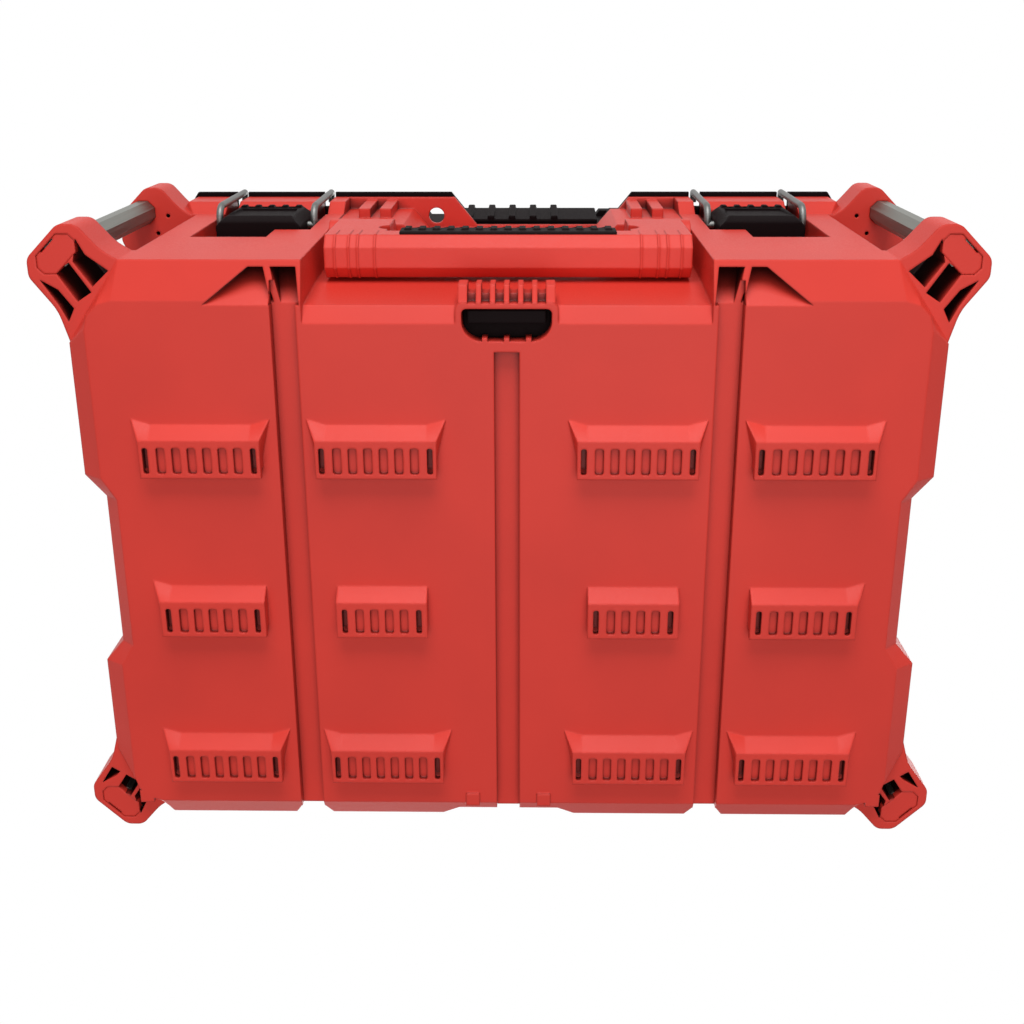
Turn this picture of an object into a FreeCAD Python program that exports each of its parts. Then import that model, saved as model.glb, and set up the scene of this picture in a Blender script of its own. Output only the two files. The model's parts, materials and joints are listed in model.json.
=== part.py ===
"""Modular stacking toolbox: tub, hinged lid, two draw latches, folding carry handle and release paddle.

Frame: millimetres, +Z up, the front is -Y, the origin is at the middle of the footprint under the cleats.
"""
import FreeCAD, Part
import Sketcher
import os
import re

doc = FreeCAD.newDocument("modular_toolbox")
sheet = doc.addObject("Spreadsheet::Sheet", "Sizes")

SIZES = {
    # overall, over the corner lugs and from cleat tips to deck
    "totalWidth": 561, "totalDepth": 408, "totalHeight": 287,
    # tub walls and levels; over is how far a cutter runs past a face
    "cleatHeight": 9, "over": 1, "wall": 4, "floorThick": 4, "edgeRise": 8,
    "wallDraft": 2, "lugReach": 19.5, "waistInset": 12,
    "bevelFront": 23, "bevelSide": 12.5, "bevelWaist": 9, "bevelRear": 13.5,
    "waistFront": 36, "waistRear": 64, "waistRamp": 14,
    "cornerX": 34, "cornerY": 50, "panelCorner": 17,
    # rim band round the tub's mouth
    "bandSlope": 15, "bandFront": 6.8, "bandSide": 5, "bandRear": 3,
    # channels in the floor
    "channelWide": 15, "channelDeep": 8, "channelSide": 131, "ridgeWall": 3,
    "grooveDeep": 8, "grooveOuter": 12.5, "grooveInner": 8, "middleDeep": 7, "middleOuter": 44,
    "middleInner": 33,
    "nubX": 19, "nubWide": 9, "nubLong": 9, "nubProud": 1.5, "nubTall": 8, "cornerNubX": 237.5,
    # corner lugs, bars and plugs
    "lugLow": 17, "lugLowThick": 30, "lugHighThick": 29,
    "lugNeck": 54, "lugRoot": 21, "lugBendX": 44, "lugBendY": 15, "lugFlat": 31, "lugCut": 20,
    "lugSideX": 15, "lugSideY": 51, "lugTailX": 21, "lugTailY": 73, "lugRound": 8, "lugSweep": 28,
    "lugHighFlat": 38, "lugHighSideX": 8, "lugHighSideY": 56, "lugHighTailX": 14, "lugHighTailY": 86,
    "barInset": 17.5, "barAcross": 16, "barSeat": 13, "barFit": 0.15, "scoopRadius": 38,
    "plugLength": 28, "plugWidth": 15, "plugCut": 5, "plugThick": 5, "plugRecess": 0.4, "plugSlot": 11,
    "plugNotch": 1,
    "pocketEnd": 40, "pocketEndRear": 21, "pocketDeep": 27, "pocketTilt": 57,
    "dowelRadius": 1.4, "dowelDeep": 8, "dowelSideX": 17.3, "dowelSideY": 2.3, "dowelBackX": 9.1,
    "dowelBackY": 14.8,
    # stacking cleats
    "cleatRowFront": 65.5, "cleatRowPitch": 106.3, "cleatOuterX": 184.6, "cleatInnerX": 78.6,
    "cleatTipLong": 24, "cleatTipWide": 73, "cleatSlope": 8.5, "cleatHorn": 6.2, "cleatHornDeep": 4,
    "cleatOverhang": 5, "cleatLip": 4, "middleOuterWide": 66, "middleInnerWide": 57,
    "slotWide": 5.2, "slotEndWide": 3.4, "slotLong": 16.5, "slotPitch": 9.3, "slotDeep": 3,
    "slotRear": 3, "slotRound": 1.5,
    # handle recess and the shoulders above it
    "recessWide": 240, "recessStepRise": 6, "recessKneeRise": 51,
    "flangeThick": 4, "shoulderInner": 61, "shoulderSlant": 12,
    "mouthLeft": 52, "mouthRight": 96, "mouthSlant": 26,
    "ribWide": 8, "ribGap": 7, "ribCentre": 96, "ribProud": 6.5,
    "lockHole": 11.5, "lockX": 56,
    # open pockets under the front wall, beside the handle
    "footInner": 123, "footOuter": 151, "footSpread": 27, "footDeep": 24, "footSkin": 4,
    "footRib": 4, "footRibX": 139, "footRibLean": 6,
    # carry handle
    "handleWide": 226, "handleLow": 57, "handleTall": 30, "handleDeep": 26.5,
    "handleBevel": 7, "ringProud": 0.5, "ringWide": 1.2,
    "ringFirst": 106.5, "ringSecond": 97.9, "ringThird": 92.3, "ringFourth": 81.8, "armWide": 36,
    "armDeep": 23, "armBite": 8, "armBiteX": 75, "armBiteZ": 95, "eyeReach": 6.5,
    "handlePinRadius": 3, "handlePinSeat": 8, "pinFit": 0.08,
    "gripWide": 134, "gripThick": 2, "gripRib": 4, "gripRibProud": 1.2, "gripRibLift": 5,
    "gripRibPitch": 8.9, "gripRibs": 15,
    # draw latches
    "latchX": 168.2, "pocketX": 168.75, "latchPocketWide": 72.5, "latchStepWide": 23.5, "latchStepRise": 29,
    "leverWide": 56.5, "leverThick": 18, "leverBevel": 6, "leverRidge": 4, "leverRidgeProud": 1.5,
    "leverRidgeTall": 6, "leverRidgePitch": 9.5, "leverRidges": 5,
    "panelLow": 46, "panelHigh": 38, "panelRise": 5, "panelTall": 32, "panelSunk": 1.5,
    "latchPinRadius": 3, "latchPinSeat": 6, "bailWire": 4.8, "bailHook": 7, "bailFit": 0.1, "bailBend": 9,
    "bailSide": 32.6, "bailNotch": 8.5, "bailNotchRun": 6,
    # release paddle under the handle
    "hoodWide": 57, "hoodTall": 22, "hoodRibs": 6, "hoodSlot": 5, "hoodPitch": 8.2, "hoodRimWide": 60.5,
    "hoodRimRound": 5,
    "paddleMouthWide": 53, "paddleMouthRound": 3, "paddleMouthSweep": 12, "mouthNub": 3.2,
    "mouthNubPitch": 12.9, "mouthNubProud": 2, "paddleWide": 46, "paddleLong": 8, "paddleGap": 1,
    "plateWide": 52, "plateThick": 4.5, "plateLow": 20, "slideFit": 0.3, "releaseTravel": 6,
    "springLong": 11, "springRadius": 1.8, "springX": 15, "springCore": 0.9,
    "retainerWide": 88, "retainerThick": 3,
    "screwRadius": 1.8, "screwHead": 3.4, "screwHeadTall": 2, "screwLong": 9, "screwInset": 5,
    # lid
    "lidGap": 0.6, "lidProud": 3.2, "lidFlange": 4.4, "shellInset": 10, "shellLean": 4, "shellWall": 3.5,
    "deckInset": 16, "socketWide": 92, "socketLong": 34, "socketRear": 5, "socketUnder": 8,
    "socketLipTall": 5,
    "sealWide": 3, "sealTall": 3, "sealInset": 0.5, "sealStep": 6, "sealRear": 6.8, "ledgeTall": 10,
    "lidMouth": 90, "lidGripFoot": 3, "lidGripLean": 3.5, "lidGripLeft": 47, "lidGripRight": 64,
    "lidRib": 5, "lidRibPitch": 15.9, "lidRibProud": 2.5, "lidRibs": 5,
    # lid hinge
    "hingeRadius": 6.5, "hingePinRadius": 2.5, "hingeX": 150,
    "knuckleWide": 36, "earWide": 16, "hingeGap": 0.5, "hingeClear": 1.2,
}

# Outlines of the three pockets in a lug: distances from the bar towards the floor panel, and across
POCKETS = {
    "frontPocket": [(9, 5.5), (26.8, 6), (24.4, 19.8), (9.6, 14.3), (-0.8, 15.4)],
    "middlePocket": [(8, -7), (29, -7), (29, 3.3), (8, 3.3)],
    "sidePocket": [(6.5, -17.6), (17, -12.2), (31, -11.4), (35.5, -19.2), (25, -17.8)],
}
for pocket, corners in POCKETS.items():
    for letter, (along, across) in zip("ABCDE", corners):
        SIZES[f"{pocket}{letter}Along"] = along
        SIZES[f"{pocket}{letter}Across"] = across

# How far each front or rear feature lies in from the overall depth, and each upper level below the top
INSETS = {
    "frontReach": 20.5, "rearReach": 11, "channelStart": 74, "nubFront": 32, "recessLip": 57,
    "recessStep": 47, "recessKnee": 42.5, "recessTop": 34, "shoulderFront": 20, "mouthBack": 32, "lockY": 25,
    "footBack": 46, "handleFront": 13.5, "latchPocketBack": 34.5, "leverFront": 12, "latchPivotY": 24,
    "bailPivotY": 21.5, "bailTopY": 9.5, "bailNotchBack": 19, "hoodFront": 35,
    "hoodSlotBack": 45, "hoodRimFront": 44,
    "hoodFinBack": 40.5, "paddleMouthFront": 48, "paddleMouthRear": 67.5, "plateFront": 44,
    "plateRear": 68, "retainerFront": 55, "retainerRear": 83, "hingeY": 7.5,
}
DROPS = {
    "rimHeight": 55, "shellTop": 12, "bandLow": 97, "lugHigh": 97, "latchPocketTop": 90,
    "latchPocketLow": 192, "leverLow": 159, "leverTop": 100, "latchPivotZ": 108, "bailPivotZ": 128,
    "ribLow": 106, "shoulderLow": 137, "handlePivotZ": 157, "hingeZ": 50.5,
}
SIZES.update({f"{name}Inset": value for name, value in INSETS.items()})
SIZES.update({f"{name}Drop": value for name, value in DROPS.items()})

for number, (alias, value) in enumerate(SIZES.items(), start=1):
    sheet.set(f"A{number}", alias)
    sheet.set(f"B{number}", str(value))
    sheet.setAlias(f"B{number}", alias)
doc.recompute()

# Places that several pieces share, written in the sheet's sizes.
PLACES = {
    "halfWidth": "(totalWidth / 2)",
    "halfDepth": "(totalDepth / 2)",
    "bodyWidth": "(totalWidth - 2 * lugReach)",
    "waistWidth": "(bodyWidth - 2 * waistInset)",
    "panelZ": "cleatHeight",
    "edgeZ": "(cleatHeight + edgeRise)",
    "floorZ": "(cleatHeight + floorThick)",
    "barX": "(halfWidth - barInset)",
    "barY": "(halfDepth - barInset)",
    "flangeZ": "(rimHeight - flangeThick)",
    "lidZ": "(rimHeight + lidGap)",
    "flangeTop": "(lidZ + lidFlange)",
    "recessHalf": "(recessWide / 2)",
    "handleHalf": "(handleWide / 2)",
    "plateTop": "(plateLow + plateThick)",
    "retainerZ": "(plateTop + 2 * slideFit)",
    "retainerTop": "(retainerZ + retainerThick)",
    "handlePivotY": "(handleFront - armDeep / 2)",
    "bailTopZ": "(flangeTop + bailWire / 2 + bailFit)",
    "sealBack": "(rearReach + wallDraft - sealRear)",
    "pocketInnerX": "(pocketX - latchPocketWide / 2)",
    "pocketOuterX": "(pocketX + latchPocketWide / 2)",
}
PLACES.update({name: f"(halfDepth - {name}Inset)" for name in INSETS})
PLACES.update({name: f"(totalHeight - {name}Drop)" for name in DROPS})


def spelled(text):
    """The expression with each place written out and each size read from the sheet."""
    def word(match):
        name = match.group(0)
        if name in PLACES:
            return spelled(PLACES[name])
        return f"Sizes.{name}" if name in SIZES else name
    return re.sub(r"[A-Za-z]\w*", word, str(text))


def number_of(text):
    """The number that an expression has now."""
    return float(sheet.evalExpression(spelled(text)))


def bind(thing, **properties):
    for name, text in properties.items():
        thing.setExpression(name.replace("__", "."), spelled(text))


def place(thing, x="0", y="0", z="0"):
    bind(thing, Placement__Base__x=x, Placement__Base__y=y, Placement__Base__z=z)


def box(name, x, y, z):
    """A block from low to high along each axis."""
    block = doc.addObject("Part::Box", name)
    bind(block, Length=f"({x[1]}) - ({x[0]})", Width=f"({y[1]}) - ({y[0]})",
         Height=f"({z[1]}) - ({z[0]})")
    place(block, x[0], y[0], z[0])
    return block


TURNS = {
    "X": FreeCAD.Rotation(FreeCAD.Vector(0, 1, 0), 90),
    "Y": FreeCAD.Rotation(FreeCAD.Vector(1, 0, 0), -90),
    "Z": FreeCAD.Rotation(),
}


def rod(name, axis, start, radius, length):
    """A cylinder that runs from its start point along one axis."""
    cylinder = doc.addObject("Part::Cylinder", name)
    cylinder.Placement = FreeCAD.Placement(FreeCAD.Vector(), TURNS[axis])
    bind(cylinder, Radius=radius, Height=length)
    place(cylinder, *start)
    return cylinder


PLANES = {
    "XY": FreeCAD.Rotation(),
    "YZ": FreeCAD.Rotation(FreeCAD.Vector(0, 1, 0), FreeCAD.Vector(0, 0, 1), FreeCAD.Vector(1, 0, 0),
                           "XYZ"),
    "XZ": FreeCAD.Rotation(FreeCAD.Vector(1, 0, 0), FreeCAD.Vector(0, 0, 1), FreeCAD.Vector(0, -1, 0),
                           "XYZ"),
}


def outline(name, plane, points, offset="0"):
    """A closed polygon sketch, each corner held by the sheet's sizes."""
    sketch = doc.addObject("Sketcher::SketchObject", name)
    sketch.Placement = FreeCAD.Placement(FreeCAD.Vector(), PLANES[plane])
    corners = [FreeCAD.Vector(number_of(u), number_of(v), 0) for u, v in points]
    count = len(corners)
    sketch.addGeometry([Part.LineSegment(corners[i], corners[(i + 1) % count]) for i in range(count)],
                       False)
    joints = [Sketcher.Constraint("Coincident", i, 2, (i + 1) % count, 1) for i in range(count)]
    sketch.addConstraint(joints)
    for i, (u, v) in enumerate(points):
        for kind, text, now in (("DistanceX", u, corners[i].x), ("DistanceY", v, corners[i].y)):
            index = sketch.addConstraint(Sketcher.Constraint(kind, -1, 1, i, 1, now))
            sketch.setExpression(f"Constraints[{index}]", spelled(text))
    side = {"XY": "z", "YZ": "x", "XZ": "y"}[plane]
    bind(sketch, **{f"Placement__Base__{side}": offset})
    return sketch


def prism(name, plane, points, start, length):
    """The polygon carried along its plane's normal; XZ runs towards the front."""
    block = doc.addObject("Part::Extrusion", name)
    block.Base = outline(name + "_outline", plane, points, start)
    block.DirMode = "Normal"
    block.Solid = True
    bind(block, LengthFwd=length)
    return block


def loft(name, sections):
    solid = doc.addObject("Part::Loft", name)
    solid.Sections = sections
    solid.Solid = True
    solid.Ruled = True
    return solid


def fuse(name, things):
    whole = doc.addObject("Part::MultiFuse", name)
    whole.Shapes = list(things)
    whole.Refine = True
    return whole


def common(name, first, second):
    shared = doc.addObject("Part::MultiCommon", name)
    shared.Shapes = [first, second]
    return shared


def cut(name, base, tools):
    rest = doc.addObject("Part::Cut", name)
    rest.Base = base
    rest.Tool = tools[0] if len(tools) == 1 else fuse(name + "_tools", tools)
    rest.Refine = True
    return rest


def mirror(name, thing, across):
    """The piece reflected through the middle plane square to X or to Y."""
    twin = doc.addObject("Part::Mirroring", name)
    twin.Source = thing
    twin.Normal = {"X": FreeCAD.Vector(1, 0, 0), "Y": FreeCAD.Vector(0, 1, 0)}[across]
    return twin


def both(thing):
    return [thing, mirror(thing.Name + "_twin", thing, "X")]


def four(thing):
    pair = both(thing)
    return pair + [mirror(one.Name + "_rear", one, "Y") for one in pair]


def soften(name, base, radius, wanted):
    """Round the edges that wanted(edge) picks."""
    doc.recompute()
    rounded = doc.addObject("Part::Fillet", name)
    rounded.Base = base
    size = number_of(radius)
    rounded.Edges = [(i, size, size) for i, edge in enumerate(base.Shape.Edges, start=1) if wanted(edge)]
    return rounded


def upright(edge):
    low, high = edge.Vertexes[0].Point, edge.Vertexes[-1].Point
    return abs(low.x - high.x) + abs(low.y - high.y) < 1e-6


def near(edge, x, y):
    middle = edge.CenterOfMass
    return abs(middle.x - x) + abs(middle.y - y) < 0.01


PARTS = []


def part(label, thing):
    """Keep a finished piece under the name that its file gets."""
    thing.Label = label
    PARTS.append(thing)
    return thing


# Where a corner's two middle points lie, as shares of the cut: on a straight cut and on a rounded one
STRAIGHT = (2 / 3, 1 / 3)
ROUND = (0.5, 0.134)


def body_outline(name, z, width, waist, front, rear, corner_x, corner_y, shares=STRAIGHT):
    """The tub's plan: cut or rounded corners and a waist in each side."""
    far, close = shares
    half = [
        (f"({width}) - {corner_x}", f"-({front})"),
        (f"({width}) - {far} * {corner_x}", f"-({front}) + {close} * {corner_y}"),
        (f"({width}) - {close} * {corner_x}", f"-({front}) + {far} * {corner_y}"),
        (width, f"-({front}) + {corner_y}"),
        (width, "-waistFront - waistRamp"),
        (waist, "-waistFront"),
        (waist, "waistRear"),
        (width, "waistRear + waistRamp"),
        (width, f"({rear}) - {corner_y}"),
        (f"({width}) - {close} * {corner_x}", f"({rear}) - {far} * {corner_y}"),
        (f"({width}) - {far} * {corner_x}", f"({rear}) - {close} * {corner_y}"),
        (f"({width}) - {corner_x}", rear),
    ]
    other = [(f"-({x})", y) for x, y in reversed(half)]
    return outline(name, "XY", half + other, z)


def panel_plan(name, z, inset):
    return body_outline(name, z, f"bodyWidth / 2 - bevelSide - {inset}",
                        f"waistWidth / 2 - bevelWaist - {inset}",
                        f"frontReach - bevelFront - {inset}", f"rearReach - bevelRear - {inset}",
                        "panelCorner", "panelCorner", ROUND)


def wall_plan(name, z, grow, front="0", side="0", rear="0"):
    return body_outline(name, z, f"bodyWidth / 2 + {grow} + {side}", f"waistWidth / 2 + {grow} + {side}",
                        f"frontReach + {grow} + {front}", f"rearReach + {grow} + {rear}",
                        "cornerX", "cornerY")


def band_plan(name, z, inset):
    return wall_plan(name, z, f"wallDraft - ({inset})", "bandFront", "bandSide", "bandRear")


# Tub shell: floor panel, bevel, drafted walls and rim band, hollowed
hull = loft("tub_hull", [panel_plan("hull_panel", "panelZ", "0"), wall_plan("hull_edge", "edgeZ", "0"),
                         wall_plan("hull_rim", "rimHeight", "wallDraft")])
band = loft("tub_band", [wall_plan("band_root", "bandLow", "0"),
                         band_plan("band_nose", "bandLow + bandSlope", "0"),
                         band_plan("band_rim", "rimHeight", "0")])
hollow = loft("tub_hollow", [panel_plan("hollow_floor", "floorZ", "wall"),
                             wall_plan("hollow_edge", "floorZ + edgeRise", "-wall"),
                             wall_plan("hollow_rim", "rimHeight + wall", "wallDraft - wall")])
envelope = fuse("tub_envelope", [hull, band])
shell = cut("tub_shell", envelope, [hollow])

# Walls that stand into the hollow: round the recess, the latch pockets, the corner scoops and the release
recess_slope = "(recessStep - recessLip) / recessStepRise"
inner_walls = [
    prism("recess_housing", "YZ", [
        ("-halfDepth", "panelZ"), ("-recessLip + wall", "panelZ"),
        ("-recessStep + wall", "edgeZ + wall"), ("-recessKnee + wall", "panelZ + recessKneeRise"),
        ("-recessTop + wall", "rimHeight"),
        ("-halfDepth", "rimHeight"),
    ], "-recessHalf - wall", "recessWide + 2 * wall"),
    box("release_housing", ("-retainerWide / 2 - wall", "retainerWide / 2 + wall"),
        ("-hoodFront", "-retainerRear + wall"), ("panelZ", "retainerTop")),
]
inner_walls += both(box("foot_housing", ("recessHalf", "footOuter + footSpread + wall"),
                        ("-halfDepth", "-footBack + wall"),
                        ("panelZ", "panelZ + channelDeep + footDeep + wall")))
inner_walls += both(box("latch_housing", ("recessHalf", "pocketOuterX + wall"),
                        ("-halfDepth", "-latchPocketBack + wall"), ("panelZ", "rimHeight")))
inner_walls += four(rod("scoop_housing", "Z", ("barX", "-barY", "panelZ"), "scoopRadius + wall",
                        "rimHeight - panelZ"))
for label, middle in (("left", "-channelSide"), ("middle", "0"), ("right", "channelSide")):
    inner_walls.append(box(f"ridge_{label}",
                           (f"{middle} - channelWide / 2 - ridgeWall",
                            f"{middle} + channelWide / 2 + ridgeWall"),
                           ("-halfDepth", "halfDepth"), ("panelZ", "panelZ + channelDeep + ridgeWall")))
for label, middle in (("left", "-channelSide"), ("right", "channelSide")):
    inner_walls.append(box(f"groove_housing_{label}",
                           (f"{middle} - grooveOuter - wall", f"{middle} + grooveOuter + wall"),
                           ("rearReach - grooveDeep - wall", "halfDepth"), ("panelZ", "rimHeight")))
inner_walls.append(box("middle_housing", ("-middleOuter - wall", "middleOuter + wall"),
                       ("rearReach - middleDeep - wall", "halfDepth"), ("panelZ", "rimHeight")))
inner_walls.append(box("seal_ledge", ("-bodyWidth / 2", "bodyWidth / 2"),
                       ("sealBack - sealInset - sealWide - over", "halfDepth"),
                       ("rimHeight - ledgeTall", "rimHeight")))
filling = common("tub_filling", fuse("inner_walls", inner_walls), envelope)

# Corner lugs: a cut-off nose round each bar, swept into the walls
def lug(name, z, thick, side="lug"):
    """A lug with a rounded nose and a swept neck; side names the sizes of the edge along the tub's side."""
    points = [
        ("halfWidth - lugNeck", "-halfDepth + lugRoot"), ("halfWidth - lugBendX", "-halfDepth + lugBendY"),
        ("halfWidth - lugFlat", "-halfDepth"), ("halfWidth - lugCut", "-halfDepth"),
        ("halfWidth", "-halfDepth + lugCut"), ("halfWidth", f"-halfDepth + {side}Flat"),
        (f"halfWidth - {side}SideX", f"-halfDepth + {side}SideY"),
        (f"halfWidth - {side}TailX", f"-halfDepth + {side}TailY"),
        ("halfWidth - 2 * lugTailX", f"-halfDepth + {side}TailY"),
        ("halfWidth - lugNeck", "-halfDepth + 2 * lugTailX"),
    ]
    nose = [(number_of(x), number_of(y)) for x, y in points[2:6]]
    neck = [(number_of(x), number_of(y)) for x, y in (points[1], points[6])]
    plain = prism(name + "_plain", "XY", points, z, thick)
    rounded = soften(name + "_nose", plain, "lugRound",
                     lambda edge: upright(edge) and any(near(edge, x, y) for x, y in nose))
    return soften(name, rounded, "lugSweep",
                  lambda edge: upright(edge) and any(near(edge, x, y) for x, y in neck))


lugs = four(lug("lug_low", "lugLow", "lugLowThick"))
lugs += four(lug("lug_high", "lugHigh", "lugHighThick", "lugHigh"))


BAR_SIDES = 8
HALF_SIDE = 180 / BAR_SIDES
CORNER_TURN = 45


def bar(name, z, top, grow="0"):
    """An eight-sided bar with a flat facing each way."""
    solid = doc.addObject("Part::Prism", name)
    solid.Polygon = BAR_SIDES
    bind(solid, Circumradius=f"(barAcross / 2 + {grow}) / cos({HALF_SIDE})", Height=f"({top}) - ({z})")
    solid.Placement.Rotation = FreeCAD.Rotation(FreeCAD.Vector(0, 0, 1), HALF_SIDE)
    place(solid, "barX", "-barY", z)
    return solid


def turned(thing, angle):
    """Turn a sketch-based piece about the front right bar, by an angle in degrees."""
    sketch = thing.Base
    sketch.Placement.Rotation = FreeCAD.Rotation(FreeCAD.Vector(0, 0, 1), number_of(angle))
    bind(sketch, Placement__Base__x="barX", Placement__Base__y="-barY")
    return thing


def plug(name, z, thick, grow="0"):
    """A flat cap across the lug's nose, long along the cut-off corner."""
    long, wide, bite = f"plugLength / 2 + {grow}", f"plugWidth / 2 + {grow}", "plugCut"
    points = [(f"{long} - {bite}", f"-({wide})"), (long, f"-({wide}) + {bite}"),
              (long, f"{wide} - {bite}"),
              (f"{long} - {bite}", wide)]
    points += [(f"-({x})", y) for x, y in reversed(points)]
    return turned(prism(name, "XY", points, z, thick), CORNER_TURN)


def lug_pockets(name, end):
    """Three deep pockets between the plug and the floor panel, parted by two ribs and cut short at end."""
    tools = []
    for pocket, corners in POCKETS.items():
        letters = "ABCDE"[:len(corners)]
        points = [(f"min({pocket}{letter}Along; {end})", f"{pocket}{letter}Across") for letter in letters]
        tools.append(turned(prism(f"{name}_{pocket}", "XY", points, "panelZ - over",
                                  "lugLow - panelZ + pocketDeep + over"), "180 - pocketTilt"))
    return tools


cuts = four(bar("bar_bore", "lugLow + plugRecess + plugThick", "lugHigh + barSeat", "barFit"))
cuts += four(plug("plug_recess", "panelZ", "lugLow - panelZ + plugRecess + plugThick", "barFit"))
cuts += four(rod("scoop", "Z", ("barX", "-barY", "lugLow + lugLowThick"), "scoopRadius",
                 "lugHigh - lugLow - lugLowThick"))
# Two blind dowel holes beside each bar's upper end
for end in ("Side", "Back"):
    start = (f"barX - dowel{end}X", f"-barY + dowel{end}Y", "lugHigh - over")
    cuts += four(rod(f"dowel_hole_{end}", "Z", start, "dowelRadius", "dowelDeep + over"))
for pocket in lug_pockets("pocket_front", "pocketEnd"):
    cuts += both(pocket)
for pocket in lug_pockets("pocket_rear", "pocketEndRear"):
    cuts += [mirror(one.Name + "_back", one, "Y") for one in both(pocket)]

# Floor channels; the side ones run out at the rear edge, the middle one starts behind the release
for label, middle, front in (("left", "-channelSide", "-frontReach + bevelFront / 2"),
                             ("middle", "0", "-channelStart"),
                             ("right", "channelSide", "-frontReach + bevelFront / 2")):
    cuts.append(box(f"channel_{label}", (f"{middle} - channelWide / 2", f"{middle} + channelWide / 2"),
                    (front, "halfDepth"), ("0", "panelZ + channelDeep")))

# Rear wall: grooves above the side channels and a set-back middle, up to the rim band
for label, middle, outer, inner, deep in (("left", "-channelSide", "grooveOuter", "grooveInner",
                                           "grooveDeep"),
                                          ("middle", "0", "middleOuter", "middleInner", "middleDeep"),
                                          ("right", "channelSide", "grooveOuter", "grooveInner",
                                          "grooveDeep")):
    cuts.append(prism(f"groove_{label}", "XY", [
        (f"{middle} - {inner}", f"rearReach - {deep}"), (f"{middle} + {inner}", f"rearReach - {deep}"),
        (f"{middle} + {outer}", "rearReach"), (f"{middle} + {outer}", "halfDepth"),
        (f"{middle} - {outer}", "halfDepth"), (f"{middle} - {outer}", "rearReach"),
    ], "0", "bandLow"))

# Handle recess: a ramp from the floor panel, a steep one up to the bar, and a leaning wall up to the flange
cuts.append(prism("recess", "YZ", [
    ("-totalDepth", "panelZ - over"), (f"-recessLip + {recess_slope} * over", "panelZ - over"),
    ("-recessStep", "panelZ + recessStepRise"), ("-recessKnee", "panelZ + recessKneeRise"),
    ("-recessTop", "flangeZ"), ("-totalDepth", "flangeZ"),
], "-recessHalf", "recessWide"))
# The flange is open at the middle, with a lock tab left standing on one side
MOUTH = [("-mouthLeft", "-halfDepth"), ("-mouthLeft + mouthSlant", "-mouthBack"),
         ("mouthRight - mouthSlant", "-mouthBack"), ("mouthRight", "-halfDepth")]
cuts.append(prism("mouth", "XY", MOUTH, "shoulderLow", "totalHeight"))

# Latch pockets with a step in the lower edge, and notches in the band for the bail's wires
cuts += both(prism("latch_pocket", "XZ", [
    ("pocketInnerX", "latchPocketLow + latchStepRise"),
    ("pocketInnerX + latchStepWide", "latchPocketLow + latchStepRise"),
    ("pocketInnerX + latchStepWide", "latchPocketLow"), ("pocketOuterX", "latchPocketLow"),
    ("pocketOuterX", "latchPocketTop"), ("pocketInnerX", "latchPocketTop"),
], "-latchPocketBack", "halfDepth - latchPocketBack"))
for label, middle in (("inner", "latchX - bailSide"), ("outer", "latchX + bailSide")):
    cuts += both(box(f"bail_notch_{label}", (f"{middle} - bailNotch / 2", f"{middle} + bailNotch / 2"),
                     ("-halfDepth", "-bailNotchBack + bailNotchRun"), ("bandLow", "totalHeight")))
cuts += both(rod("latch_bore", "X", ("pocketInnerX - latchPinSeat", "-latchPivotY", "latchPivotZ"),
                 "latchPinRadius + pinFit", "latchPocketWide + 2 * latchPinSeat"))
cuts += both(rod("handle_bore", "X", ("recessHalf - over", "-handlePivotY", "handlePivotZ"),
                 "handlePinRadius + pinFit", "handlePinSeat + over"))

# Open pockets under the front wall on both sides of the handle: each slopes up from the panel, with a rib
foot_plan = prism("foot_plan", "XY", [
    ("footInner", "-frontReach + footSkin"), ("footOuter", "-frontReach + footSkin"),
    ("footOuter + footSpread", "-footBack"), ("footInner - footSkin / 2", "-footBack"),
], "0", "panelZ + channelDeep + footDeep")


def foot_slope(name, start_z, start, length):
    """A wedge under a slope that climbs by footDeep from start_z to the front wall."""
    return prism(name, "YZ", [
        ("-footBack", "0"), ("-footBack", start_z), ("-frontReach + footSkin", f"{start_z} + footDeep"),
        ("-frontReach + footSkin", "0"),
    ], start, length)


foot_slopes = fuse("foot_slopes", [
    foot_slope("foot_slope_outer", "panelZ", "footRibX", "footOuter + footSpread - footRibX"),
    foot_slope("foot_slope_inner", "panelZ + channelDeep", "recessHalf", "footRibX - recessHalf"),
])
foot = common("foot_hollow", foot_plan, foot_slopes)
foot_rib = prism("foot_rib", "XY", [
    ("footRibX", "-frontReach"), ("footRibX + footRib", "-frontReach"),
    ("footRibX + footRib - footRibLean", "-footBack"), ("footRibX - footRibLean", "-footBack"),
], "0", "panelZ + channelDeep + footDeep")
cuts += both(cut("foot_pocket", foot, [foot_rib]))

# What is added after the cuts: shoulders, ribs, hood, cleats and hinge ears
shoulders = both(prism("shoulder", "XY", [
    ("shoulderInner", "-recessTop + wall"), ("shoulderInner", "-recessTop"),
    ("shoulderInner + shoulderSlant", "-shoulderFront"), ("recessHalf + wall", "-shoulderFront"),
    ("recessHalf + wall", "-recessTop + wall"),
], "shoulderLow", "flangeZ - shoulderLow"))
for label, middle in (("near", "ribCentre - (ribWide + ribGap) / 2"),
                      ("far", "ribCentre + (ribWide + ribGap) / 2")):
    shoulders += both(box(f"flange_rib_{label}", (f"{middle} - ribWide / 2", f"{middle} + ribWide / 2"),
                          ("-shoulderFront - ribProud", "-shoulderFront"), ("ribLow", "flangeZ")))


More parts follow.
